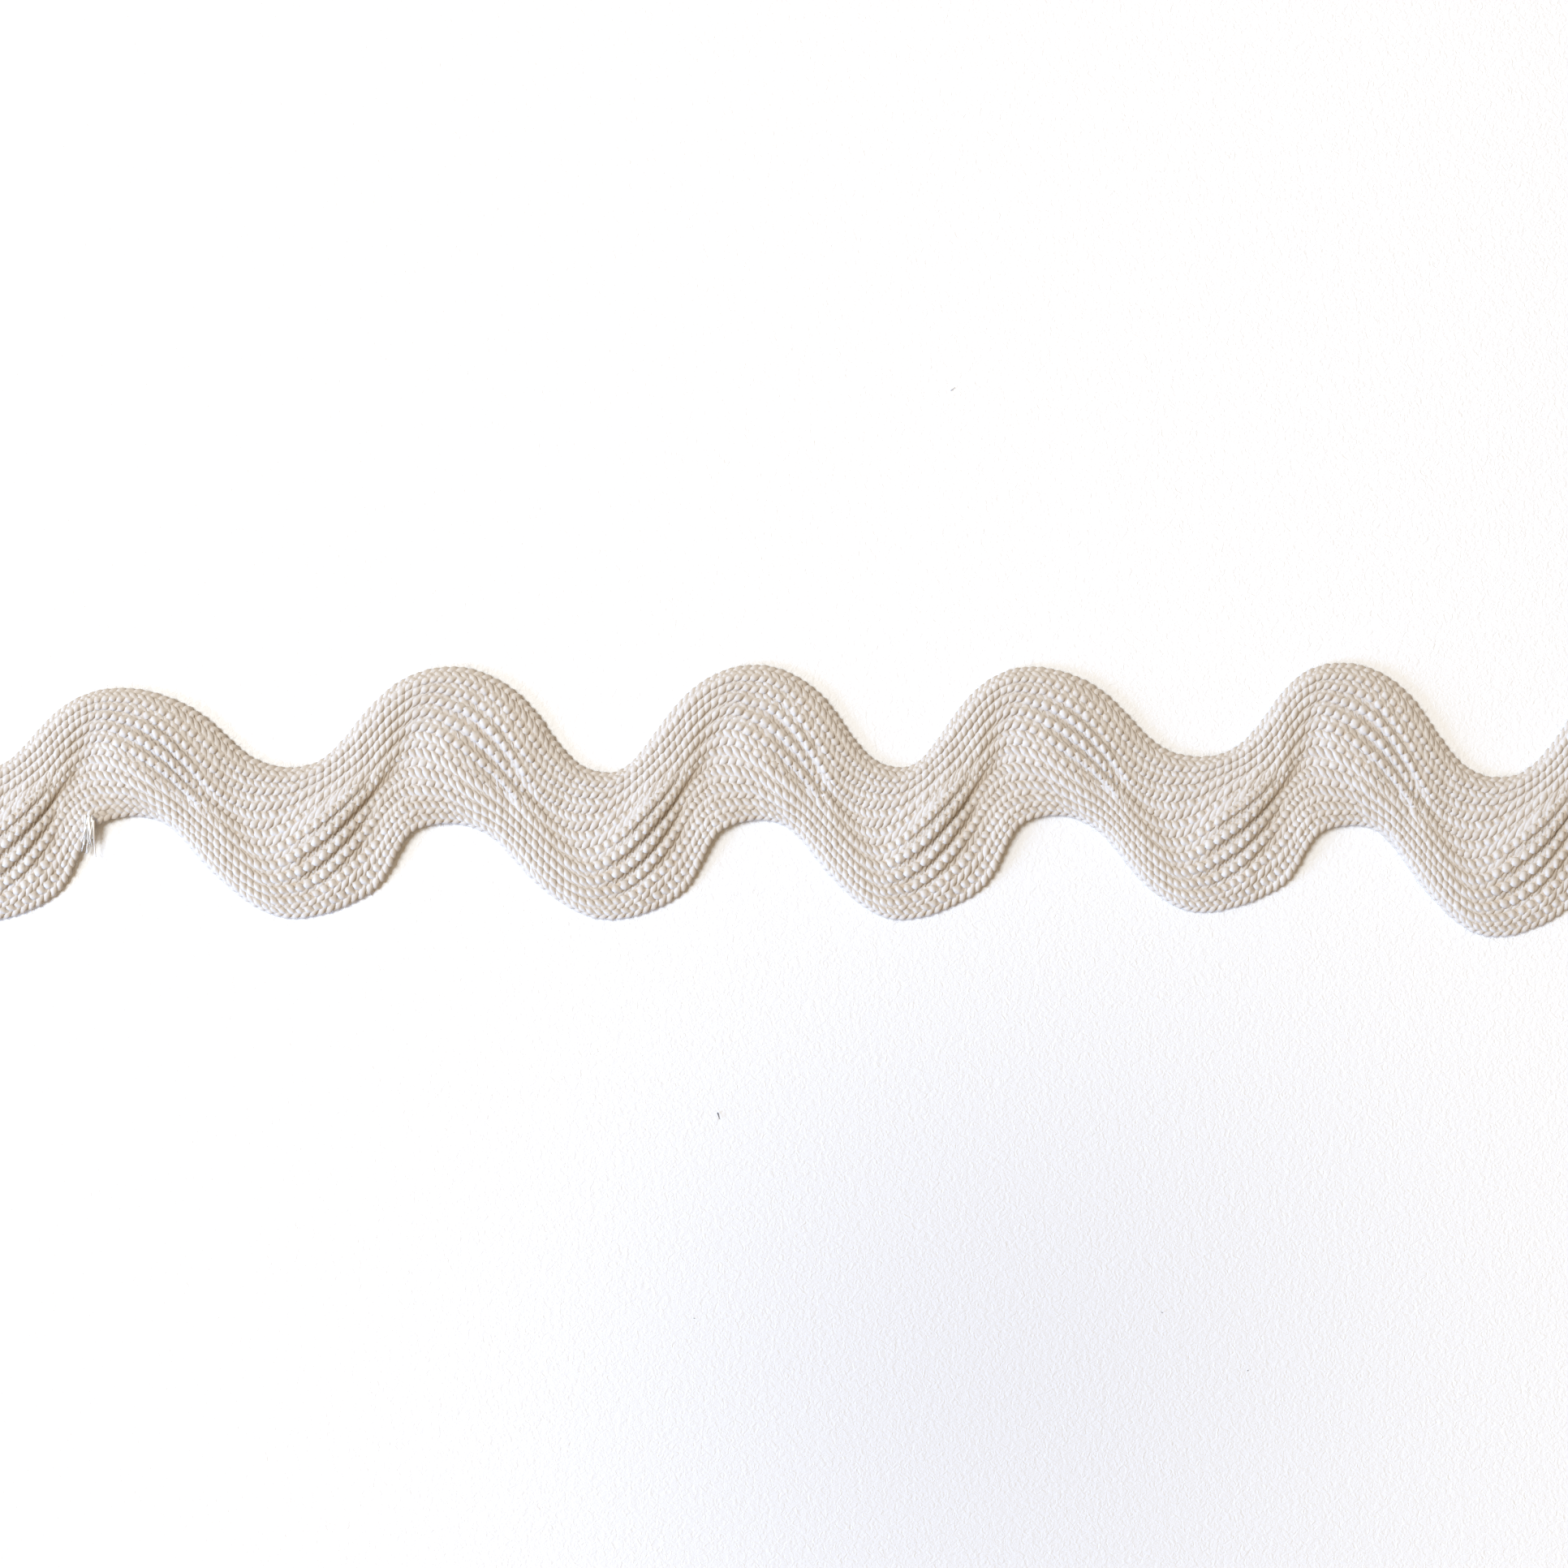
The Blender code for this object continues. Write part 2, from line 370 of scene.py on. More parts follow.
SWELLS = (
    Swell(0.18, 0.34, 0.58, 0.42, 0.38, 0.0),
    Swell(0.36, 0.40, 0.78, 0.32, 0.0, 0.26),
    Swell(0.04, 0.32, 0.38, 0.32, 0.0, 0.38),
    Swell(-0.27, 0.30, 0.35, 0.32, -0.24, 0.0),
    Swell(-0.26, 0.22, 0.46, 0.34, 0.0, -0.34),
    Swell(0.10, 0.20, 0.74, 0.24, -0.32, 0.0),
    Swell(0.48, 0.50, 0.84, 0.27, 0.22, 0.22),
)


def swell_height(along, column):
    """Broad swells: the cloth dips before each turn, rises at it and puffs up where it is loose."""
    height = 0.0
    for index in range(len(TURNS)):
        across = mirrored(column, index)
        for swell in SWELLS:
            near = hump(along - index - swell.along, swell.half_length)
            line = hump(across - swell.across, swell.half_width)
            full = swell.peak_height if is_peak(index) else swell.trough_height
            height = height + full * near * line
    return height


def crease_depth(along, column):
    """The crease in each straight stretch, between its tight rows and its loose ones."""
    depth = 0.0
    for index in range(len(TURNS)):
        near = hump(along - index - CREASE_CENTRE_ALONG, CREASE_HALF_LENGTH)
        line = hump(mirrored(column, index) - CREASE_ACROSS, CREASE_HALF_WIDTH)
        strength = FALLING_CREASE_SHARE if is_peak(index) else 1.0
        depth = depth + CREASE_DEPTH * strength * near * line
    return depth


def arch_lift(along, column):
    """The bottom edge stands off the table on the left side of each arch."""
    lift = 0.0
    for index in range(0, len(TURNS), 2):
        lift = lift + ARCH_LIFT * hump(along - index - ARCH_LIFT_CENTRE, ARCH_LIFT_HALF_LENGTH)
    reach = np.clip((column - ARCH_LIFT_START) / (1.0 - ARCH_LIFT_START), 0.0, 1.0)
    return lift * reach * reach


def edge_fade(column):
    """1 over most of the width, falling to 0 at both edges."""
    from_edge = np.minimum(column, 1.0 - column) * YARN_COUNT
    return np.clip(from_edge / EDGE_YARNS, 0.0, 1.0)


def cloth_height(along, column):
    """Height of the middle of the cloth above the table."""
    crown = MIDDLE_CROWN * np.sin(np.pi * column)
    raised = crown + fold_height(along, column) + swell_height(along, column)
    edge_drop = EDGE_DROP * (1.0 - edge_fade(column))
    height = CLOTH_MIDDLE + raised + arch_lift(along, column)
    return height - crease_depth(along, column) - edge_drop


def smooth_noise(rng, places, wavelength, waves=6):
    """A gentle wander between about -1 and 1 over the given places."""
    total = np.zeros_like(places)
    for _ in range(waves):
        length = wavelength * rng.uniform(*WANDER_RANGE)
        total += np.sin(2.0 * np.pi * places / length + rng.uniform(0.0, 2.0 * np.pi))
    return total / math.sqrt(waves)


class Yarn(NamedTuple):
    """A yarn's middle line and the size of its section at each ring, in millimetres.

    parting is how far its two ends part, from 0 to 1. tone goes from 0 for darker to 1 for paler,
    and depth, which sets the yarn's painted shade, from 0 on the crests to 1 and more deep in the braid,
    its creases and fold valleys.
    """

    centre: np.ndarray
    width: np.ndarray
    thickness: np.ndarray
    parting: np.ndarray
    tone: np.ndarray
    depth: np.ndarray


def yarn_path(index, rng):
    """Follow one yarn from cut to cut, from edge to edge and over and under the others."""
    rings_per_turn = YARN_COUNT * RINGS_PER_STITCH / STITCH_CROSSINGS
    ring_count = round((CUT_END - CUT_START) * rings_per_turn) + 1
    along = np.linspace(CUT_START, CUT_END, ring_count)
    along[0] += CUT_RAGGEDNESS * rng.uniform(-1.0, CUT_SLACK)
    along[-1] += CUT_RAGGEDNESS * rng.uniform(-CUT_SLACK, 1.0)
    phase = along - 2.0 * index / YARN_COUNT

    turn_rounding = math.cos(math.pi * EDGE_TURN / YARN_COUNT)
    column = np.arccos(turn_rounding * np.cos(np.pi * phase)) / np.pi
    falling = np.tanh(np.sin(np.pi * phase) * YARN_COUNT / (np.pi * EDGE_TURN))
    lead = rising_lead(along, column)
    wave = row_wave(column)
    loose = in_folds(along, column)
    fade = edge_fade(column)

    spread = LEAD_SPREAD * lead * np.sin(row_phase(column))
    spread_column = np.clip(column + spread * fade / YARN_COUNT, 0.0, 1.0)
    x, y = place_on_strip(along, spread_column, EDGE_INSET)
    x = x + YARN_SWAY * fade * smooth_noise(rng, along, SWAY_WAVELENGTH)
    y = y + YARN_SWAY * fade * smooth_noise(rng, along, SWAY_WAVELENGTH)

    sharpness = WEAVE_SHARPNESS + (LOOSE_SHARPNESS - WEAVE_SHARPNESS) * loose
    swing = np.sign(wave) * np.abs(wave) ** sharpness
    weave_height = WEAVE_HEIGHT * (1.0 - LOOSE_FLATNESS * loose)
    over = -falling * (weave_height * swing + LEAD_LIFT * lead * fade)
    float_share = np.abs(wave) ** THICKNESS_TAPER
    thickness = TUCKED_THICKNESS + (FLOAT_THICKNESS - TUCKED_THICKNESS) * float_share
    z = cloth_height(along, column) + over + YARN_LIFT * smooth_noise(rng, along, SWAY_WAVELENGTH)
    centre = np.column_stack((x, y, np.maximum(z, 0.5 * thickness + TABLE_GAP)))

    taper = FLOAT_TAPER + (LOOSE_TAPER - FLOAT_TAPER) * loose
    free_width = float_width(along, spread_column, centre) * (1.0 + LOOSE_WIDENING * loose)
    width = TUCKED_WIDTH + (free_width - TUCKED_WIDTH) * np.abs(wave) ** taper
    width *= 1.0 + WIDTH_WANDER * smooth_noise(rng, along, WIDTH_WAVELENGTH)
    parting = smooth_step(loose, PARTING_START, PARTING_FULL)

    tone = 0.5 + TONE_SPREAD * rng.normal() + TONE_WANDER * smooth_noise(rng, along, TONE_WAVELENGTH)
    # depth sets the painted shade: browner for yarns low in the weave, in the creases and between the
    # standing fold rows.
    depth = 0.5 - 0.5 * over / WEAVE_HEIGHT
    depth += CREASE_PAINTED_SHADE * crease_depth(along, column) / CREASE_DEPTH
    depth += FOLD_PAINTED_SHADE * in_fold_valleys(along, column)
    return Yarn(centre, width, thickness, parting, tone, depth)


def float_width(along, column, centre):
    """Where it lies free on a face, a yarn spreads as the distance to the next one allows."""
    step = 1.0 / YARN_COUNT
    ahead_x, ahead_y = place_on_strip(along + step, column, EDGE_INSET)
    behind_x, behind_y = place_on_strip(along - step, column, EDGE_INSET)
    run = np.gradient(centre[:, :2], axis=0)
    run /= np.linalg.norm(run, axis=1)[:, None]
    spacing = np.abs((ahead_x - behind_x) * run[:, 1] - (ahead_y - behind_y) * run[:, 0])
    width = np.clip(FLOAT_FILL * spacing, NARROWEST_FLOAT, WIDEST_FLOAT)
    window = np.hanning(2 * WIDTH_SMOOTHING + 1)
    padded = np.pad(width, WIDTH_SMOOTHING, mode="edge")
    return np.convolve(padded, window / window.sum(), mode="valid")


def tube_rings(centre, width, thickness, sides, added_rise=0.0):
    """Rings of points round a line. Width is measured level with the table.

    added_rise lifts the points of each ring, as a share of half the thickness.
    """
    run = np.gradient(centre, axis=0)
    run /= np.linalg.norm(run, axis=1)[:, None]
    side = np.column_stack((run[:, 1], -run[:, 0], np.zeros(len(run))))
    side /= np.linalg.norm(side, axis=1)[:, None]
    up = np.cross(side, run)
    angle = 2.0 * np.pi * (np.arange(sides) + 0.5) / sides
    across = 0.5 * width[:, None, None] * np.cos(angle)[None, :, None] * side[:, None, :]
    rise = (np.sin(angle) + added_rise) * np.ones((len(centre), 1))
    upward = 0.5 * thickness[:, None, None] * rise[:, :, None] * up[:, None, :]
    return centre[:, None, :] + across + upward


def yarn_rings(yarn):
    """A yarn is two ends laid side by side, which part where the braid is loose."""
    parted_rise = yarn.parting[:, None] * np.array(PARTED_RISE)
    return tube_rings(yarn.centre, yarn.width, yarn.thickness, YARN_SIDES, parted_rise)


class MeshParts:
    """Collects tubes and makes them into one mesh, with a UV map and values at its points."""

    def __init__(self):
        self.points = []
        self.faces = []
        self.face_uvs = []
        self.values = {"tone": [], "depth": []}
        self.point_count = 0

    def add_tube(self, rings, lengths, tone, depth):
        ring_count, sides, _ = rings.shape
        first = self.point_count
        grid = first + np.arange(ring_count * sides).reshape(ring_count, sides)
        following = np.roll(grid, -1, axis=1)
        quads = np.stack((grid[:-1], following[:-1], following[1:], grid[1:]), axis=-1)
        self.faces.extend(quads.reshape(-1, 4).tolist())
        around = np.arange(sides) / sides
        for near, far in zip(lengths[:-1], lengths[1:]):
            for start in around:
                stop = start + 1.0 / sides
                self.face_uvs.extend((near, start, near, stop, far, stop, far, start))
        for ring, length, order in ((grid[0], lengths[0], -1), (grid[-1], lengths[-1], 1)):
            self.faces.append(ring[::order].tolist())
            for start in around[::order]:
                self.face_uvs.extend((length, start))
        self.points.append(rings.reshape(-1, 3))
        self.values["tone"].append(np.repeat(tone, sides))
        self.values["depth"].append(np.repeat(depth, sides))
        self.point_count += ring_count * sides

    def make(self, name, material):
        mesh = bpy.data.meshes.new(name)
        points = np.concatenate(self.points) * MM
        mesh.from_pydata(points.tolist(), [], self.faces)
        uv_layer = mesh.uv_layers.new(name="length_and_turn")
        uv_layer.data.foreach_set("uv", np.array(self.face_uvs, dtype=np.float32))
        for value_name, parts in self.values.items():
            attribute = mesh.attributes.new(value_name, "FLOAT", "POINT")
            attribute.data.foreach_set("value", np.concatenate(parts).astype(np.float32))
        mesh.materials.append(material)
        mesh.shade_smooth()
        made = bpy.data.objects.new(name, mesh)
        bpy.context.collection.objects.link(made)
        return made


def make_yarns(material, rng):
    """All the braid's yarns, a few to a piece."""
    pieces = []
    for first in range(0, YARN_COUNT, YARNS_PER_PIECE):
        parts = MeshParts()
        for index in range(first, first + YARNS_PER_PIECE):
            yarn = yarn_path(index, rng)
            rings = yarn_rings(yarn)
            steps = np.linalg.norm(np.diff(yarn.centre, axis=0), axis=1)
            lengths = np.concatenate(([0.0], np.cumsum(steps)))
            parts.add_tube(rings, lengths.tolist(), yarn.tone, yarn.depth)
        pieces.append(parts.make(f"yarns_{first // YARNS_PER_PIECE + 1}", material))
    return pieces


def make_core(material):
    """The thin closed sheet inside the yarns, on the strip's own outline and folds."""
    along_steps = round((CUT_END - CUT_START) * CORE_STEPS_PER_TURN)
    along = np.linspace(CUT_START, CUT_END, along_steps + 1)
    column = np.linspace(0.0, 1.0, CORE_STEPS_ACROSS + 1)
    along_grid, column_grid = np.meshgrid(along, column, indexing="ij")
    x, y = place_on_strip(along_grid, column_grid, CORE_INSET)
    rise = cloth_height(along_grid, column_grid) - CLOTH_MIDDLE
    faces = []
    rows, columns = along_grid.shape
    count = rows * columns
    for row in range(rows - 1):
        for place in range(columns - 1):
            corner = row * columns + place
            quad = (corner, corner + 1, corner + columns + 1, corner + columns)
            faces.append(quad)
            faces.append(tuple(count + point for point in reversed(quad)))
    rim = [row * columns for row in range(rows)]
    rim += [(rows - 1) * columns + place for place in range(1, columns)]
    rim += [row * columns + columns - 1 for row in range(rows - 2, -1, -1)]
    rim += list(range(columns - 2, 0, -1))
    for near, far in zip(rim, rim[1:] + rim[:1]):
        faces.append((near, far, count + far, count + near))
    top = np.stack((x, y, CORE_TOP + rise), axis=-1).reshape(-1, 3)
    bottom = np.stack((x, y, CORE_BOTTOM + rise), axis=-1).reshape(-1, 3)
    mesh = bpy.data.meshes.new("braid_core")
    mesh.from_pydata((np.concatenate((top, bottom)) * MM).tolist(), [], faces)
    mesh.materials.append(material)
    mesh.shade_smooth()
    core = bpy.data.objects.new("braid_core", mesh)
    bpy.context.collection.objects.link(core)
    return core


# Loose fibres: most stand out from the two edges, the rest from the top face.
FIBRE_COUNT = 3600
EDGE_STEP = 0.01
FIBRE_EDGE_SHARE = 0.72
FIBRE_POINTS = 4
FIBRE_SIDES = 3
FIBRE_THICKNESS = 0.028
FIBRE_THICKNESS_RANGE = (0.7, 1.2)
FIBRE_TIP = 0.35
FIBRE_LENGTH = 0.65
FIBRE_LENGTH_SPREAD = 0.35
FIBRE_CURL = (0.35, 0.35, 0.07)
FIBRE_TONE_RANGE = (0.4, 1.0)
LOWEST_FIBRE = 0.06
EDGE_FIBRE_HEIGHTS = (-0.35, 0.25)
EDGE_FIBRE_REACH = 0.25
EDGE_FIBRE_SPREAD = (0.55, 0.55, 0.1925)
FACE_FIBRE_COLUMNS = (0.02, 0.98)
FACE_FIBRE_RISE = 0.15
FACE_FIBRE_SPREAD = (1.0, 1.0, 0.25)
FACE_FIBRE_HEADING = (0.0, 0.0, 0.2)

# The tuft of thick loose ends at one notch.
TUFT_FIBRES = 16
TUFT_ALONG = 1.785
TUFT_INSET = 1.2
TUFT_RISE = 0.9
TUFT_BUNDLE = (0.28, 0.4, 0.1)
TUFT_HEADING = (-0.12, -1.0, -0.16)
TUFT_SPREAD = 0.05
TUFT_CURL = 0.06
TUFT_LENGTH = 4.3
TUFT_LENGTH_BIAS = -0.1
TUFT_LENGTH_SPREAD = 0.2
TUFT_THICKNESS = 0.40
TUFT_POINTS = 6


def fibre_line(start, heading, length, curl, points):
    """A short line that starts at a place, heads off in a direction and curls, above the table."""
    share = np.linspace(0.0, 1.0, points)[:, None]
    line = start + heading * (length * share) + curl * (length * share * share)
    line[:, 2] = np.maximum(line[:, 2], LOWEST_FIBRE)
    return line


def unit(vector):
    return vector / np.linalg.norm(vector)


def edge_start(along, at_top):
    """A place on an edge and the level direction that points away from the strip there."""
    column = 0.0 if at_top else 1.0
    x, y = place_on_strip(along, column, EDGE_INSET)
    inner_x, inner_y = place_on_strip(along, 0.5, EDGE_INSET)
    ahead_x, ahead_y = place_on_strip(along + EDGE_STEP, column, EDGE_INSET)
    run = unit(np.array((ahead_x - x, ahead_y - y)))
    outward = np.array((-run[1], run[0]))
    if outward @ np.array((inner_x - x, inner_y - y)) > 0.0:
        outward = -outward
    return np.array((x, y, cloth_height(along, column))), np.array((outward[0], outward[1], 0.0))


def make_fibres(material, rng):
    """Fine loose fibres along the edges and over the face."""
    parts = MeshParts()
    for _ in range(FIBRE_COUNT):
        along = rng.uniform(CUT_START, CUT_END)
        if rng.random() < FIBRE_EDGE_SHARE:
            start, outward = edge_start(along, rng.random() < 0.5)
            start = start + np.array((0.0, 0.0, rng.uniform(*EDGE_FIBRE_HEIGHTS)))
            heading = unit(outward + rng.normal(size=3) * np.array(EDGE_FIBRE_SPREAD))
            start = start + outward * rng.uniform(0.0, EDGE_FIBRE_REACH)
        else:
            column = rng.uniform(*FACE_FIBRE_COLUMNS)
            x, y = place_on_strip(along, column, EDGE_INSET)
            top = cloth_height(along, column) + WEAVE_HEIGHT + FACE_FIBRE_RISE
            start = np.array((float(x), float(y), float(top)))
            spread = rng.normal(size=3) * np.array(FACE_FIBRE_SPREAD)
            heading = unit(spread + np.array(FACE_FIBRE_HEADING))
        length = FIBRE_LENGTH * rng.lognormal(0.0, FIBRE_LENGTH_SPREAD)
        curl = rng.normal(size=3) * np.array(FIBRE_CURL)
        line = fibre_line(start, heading, length, curl, FIBRE_POINTS)
        thickness = rng.uniform(*FIBRE_THICKNESS_RANGE) * FIBRE_THICKNESS
        add_fibre(parts, line, thickness, rng.uniform(*FIBRE_TONE_RANGE))
    return parts.make("loose_fibres", material)


def make_tuft(material, rng):
    """The small bright tuft that hangs out of the first notch on the left."""
    parts = MeshParts()
    edge, outward = edge_start(TUFT_ALONG, False)
    start = edge - TUFT_INSET * outward + np.array((0.0, 0.0, TUFT_RISE))
    for _ in range(TUFT_FIBRES):
        offset = rng.normal(size=3) * np.array(TUFT_BUNDLE)
        heading = unit(np.array(TUFT_HEADING) + TUFT_SPREAD * rng.normal(size=3))
        curl = TUFT_CURL * rng.normal(size=3)
        length = TUFT_LENGTH * rng.lognormal(TUFT_LENGTH_BIAS, TUFT_LENGTH_SPREAD)
        line = fibre_line(start + offset, heading, length, curl, TUFT_POINTS)
        add_fibre(parts, line, TUFT_THICKNESS, 1.0)
    return parts.make("notch_tuft", material)


def add_fibre(parts, line, thickness, tone):
    """A fibre of the given thickness that thins out along its line."""
    taper = thickness * np.linspace(1.0, FIBRE_TIP, len(line))
    rings = tube_rings(line, taper, taper, FIBRE_SIDES)
    lengths = np.linspace(0.0, 1.0, len(line)).tolist()
    parts.add_tube(rings, lengths, np.full(len(line), tone), np.zeros(len(line)))


def add_node(tree, kind, inputs=None, **settings):
    """Add a shader node. inputs maps a socket to a value, or to the socket that feeds it."""
    added = tree.nodes.new(kind)
    for name, value in settings.items():
        setattr(added, name, value)
    for key, value in (inputs or {}).items():
        if isinstance(value, bpy.types.NodeSocket):
            tree.links.new(value, added.inputs[key])
        else:
            added.inputs[key].default_value = value
    return added


def new_material(name, roughness):
    material = bpy.data.materials.new(name)
    material.use_nodes = True
    shader = material.node_tree.nodes["Principled BSDF"]
    shader.inputs["Roughness"].default_value = roughness
    return material, material.node_tree, shader


def mix_colours(tree, share, first, second):
    """The colour socket of a mix from the first colour, at share 0, to the second."""
    mixed = add_node(
        tree,
        "ShaderNodeMix",
        {0: share, 6: first, 7: second},
        data_type="RGBA",
    )
    return mixed.outputs[2]


YARN_PALE = (0.67, 0.62, 0.575, 1.0)
YARN_DARK = (0.62, 0.56, 0.505, 1.0)
# The deep colour is painted shade for yarns low in the braid, in its creases and between the fold rows.
YARN_PAINTED_SHADE = (0.52, 0.435, 0.35, 1.0)
TWIST_PER_MM = 1.1
PLY_RELIEF = 0.3


def yarn_material():
    """Undyed cotton yarn, two plies twisted, with painted shade: paler on the crests and browner deep
    between them.
    """
    material, tree, shader = new_material("cotton_yarn", 0.88)
    shader.inputs["Sheen Weight"].default_value = 0.15
    shader.inputs["Sheen Roughness"].default_value = 0.5
    shader.inputs["Specular IOR Level"].default_value = 0.25
    tone = add_node(tree, "ShaderNodeAttribute", attribute_name="tone").outputs["Fac"]
    depth = add_node(tree, "ShaderNodeAttribute", attribute_name="depth").outputs["Fac"]
    twist_place = add_node(tree, "ShaderNodeUVMap", uv_map="length_and_turn").outputs["UV"]
    twist = add_node(
        tree,
        "ShaderNodeVectorMath",
        {0: twist_place, 1: (TWIST_PER_MM, 2.0, 0.0)},
        operation="DOT_PRODUCT",
    ).outputs["Value"]
    angle = add_node(
        tree, "ShaderNodeMath", {0: twist, 1: 2.0 * math.pi}, operation="MULTIPLY"
    ).outputs[0]
    plies = add_node(tree, "ShaderNodeMath", {0: angle}, operation="SINE").outputs[0]
    fibres = add_node(tree, "ShaderNodeTexNoise", {"Scale": 4500.0, "Detail": 4.0, "Roughness": 0.7})
    patches = add_node(tree, "ShaderNodeTexNoise", {"Scale": 260.0, "Detail": 2.0})
    place = add_node(tree, "ShaderNodeTexCoord").outputs["Object"]
    tree.links.new(place, fibres.inputs["Vector"])
    tree.links.new(place, patches.inputs["Vector"])
    patch_share = add_node(
        tree,
        "ShaderNodeMapRange",
        {"Value": patches.outputs["Fac"], "From Min": 0.3, "From Max": 0.7, "To Min": -0.2, "To Max": 0.2},
    ).outputs["Result"]
    pale_share = add_node(
        tree, "ShaderNodeMath", {0: tone, 1: patch_share}, operation="ADD", use_clamp=True
    ).outputs[0]
    colour = mix_colours(tree, pale_share, YARN_DARK, YARN_PALE)
    # Painted shade: the yarn browns towards the deep colour where its depth value is high.
    painted_shade_share = add_node(
        tree,
        "ShaderNodeMapRange",
        {"Value": depth, "From Min": 0.45, "From Max": 1.2, "To Min": 0.0, "To Max": 0.7},
    ).outputs["Result"]
    colour = mix_colours(tree, painted_shade_share, colour, YARN_PAINTED_SHADE)
    tree.links.new(colour, shader.inputs["Base Color"])
    relief = add_node(
        tree,
        "ShaderNodeMath",
        {0: plies, 1: PLY_RELIEF, 2: fibres.outputs["Fac"]},
        operation="MULTIPLY_ADD",
    ).outputs[0]
    bump = add_node(
        tree, "ShaderNodeBump", {"Height": relief, "Strength": 0.3, "Distance": 0.00012}
    )
    tree.links.new(bump.outputs["Normal"], shader.inputs["Normal"])
    return material


# The core's two browns are painted shade for the gaps between the yarns.
CORE_SHADE_DARK = (0.60, 0.515, 0.435, 1.0)
CORE_SHADE_PALE = (0.68, 0.60, 0.53, 1.0)


def core_material():
    """The braid's inner sheet in a darker brown, painted shade seen only through the gaps between the
    yarns.
    """
    material, tree, shader = new_material("braid_painted_shade", 0.95)
    noise = add_node(tree, "ShaderNodeTexNoise", {"Scale": 1500.0, "Detail": 3.0})
    place = add_node(tree, "ShaderNodeTexCoord").outputs["Object"]
    tree.links.new(place, noise.inputs["Vector"])
    colour = mix_colours(tree, noise.outputs["Fac"], CORE_SHADE_DARK, CORE_SHADE_PALE)
    tree.links.new(colour, shader.inputs["Base Color"])
    return material


FIBRE_DARK = (0.66, 0.60, 0.53, 1.0)
FIBRE_PALE = (0.90, 0.88, 0.85, 1.0)
TUFT_WHITE = (0.95, 0.93, 0.90, 1.0)


def fibre_material():
    """Single cotton fibres, pale and a little see-through."""
    material, tree, shader = new_material("cotton_fibre", 0.8)
    tone = add_node(tree, "ShaderNodeAttribute", attribute_name="tone").outputs["Fac"]
    colour = mix_colours(tree, tone, FIBRE_DARK, FIBRE_PALE)
    tree.links.new(colour, shader.inputs["Base Color"])
    shader.inputs["Alpha"].default_value = 0.65
    return material


def tuft_material():
    """The whiter, denser cotton of the tuft."""
    material, _, shader = new_material("cotton_tuft", 0.8)
    shader.inputs["Base Color"].default_value = TUFT_WHITE
    return material


TABLE_SIZE = 3.0
TABLE_WHITE = (0.93, 0.935, 0.96, 1.0)
# The patch colour is a painted shadow: a broad, soft, greyer area on the table.
TABLE_PAINTED_SHADOW = (0.776, 0.78, 0.82, 1.0)
SHADOW_PATCH_CENTRE = (22.0, -87.0)
SHADOW_PATCH_REACH = 122.0


def table_material():
    """White matt board with a fine pebbled grain and a broad, greyer painted shadow."""
    material, tree, shader = new_material("white_table", 0.55)
    shader.inputs["Specular IOR Level"].default_value = 0.3
    place = add_node(tree, "ShaderNodeTexCoord").outputs["Object"]
    # Painted shadow: the table greys towards the patch colour near the patch's centre.
    from_shadow_patch = add_node(
        tree,
        "ShaderNodeVectorMath",
        {0: place, 1: (SHADOW_PATCH_CENTRE[0] * MM, SHADOW_PATCH_CENTRE[1] * MM, 0.0)},
        operation="DISTANCE",
    ).outputs["Value"]
    patch_share = add_node(
        tree,
        "ShaderNodeMapRange",
        {"Value": from_shadow_patch, "From Min": 0.0, "From Max": SHADOW_PATCH_REACH * MM, "To Min": 1.0, "To Max": 0.0},
        interpolation_type="SMOOTHSTEP",
    ).outputs["Result"]
    colour = mix_colours(tree, patch_share, TABLE_WHITE, TABLE_PAINTED_SHADOW)
    tree.links.new(colour, shader.inputs["Base Color"])
    grain = add_node(
        tree, "ShaderNodeTexNoise", {"Vector": place, "Scale": 1300.0, "Detail": 2.0, "Distortion": 1.2}
    )
    bump = add_node(
        tree,
        "ShaderNodeBump",
        {"Height": grain.outputs["Fac"], "Strength": 0.6, "Distance": 0.00015},
    )
    tree.links.new(bump.outputs["Normal"], shader.inputs["Normal"])
    return material


def make_table():
    """A large flat table, its size in metres."""
    mesh = bpy.data.meshes.new("table")
    half = 0.5 * TABLE_SIZE
    corners = [(-half, -half, 0.0), (half, -half, 0.0), (half, half, 0.0), (-half, half, 0.0)]
    mesh.from_pydata(corners, [], [(0, 1, 2, 3)])
    mesh.materials.append(table_material())
    table = bpy.data.objects.new("table", mesh)
    bpy.context.collection.objects.link(table)


class Speck(NamedTuple):
    """A bit of fluff on the table, from one place to another. Its tone is 0 for dark, 1 for pale."""

    start: tuple
    end: tuple
    thickness: float
    tone: float


SPECKS = (
    Speck((-15.9, -47.0), (-15.6, -48.0), 0.18, 0.0),
    Speck((19.1, 61.5), (19.8, 62.0), 0.14, 1.0),
    Speck((-19.5, -77.9), (-19.3, -77.9), 0.16, 0.6),
    Speck((50.8, -77.0), (51.0, -77.1), 0.16, 0.5),
    Speck((63.7, -85.8), (63.9, -85.7), 0.16, 0.6),
)

SPECK_DARK = (0.05, 0.04, 0.035, 1.0)
SPECK_PALE = (0.55, 0.54, 0.53, 1.0)


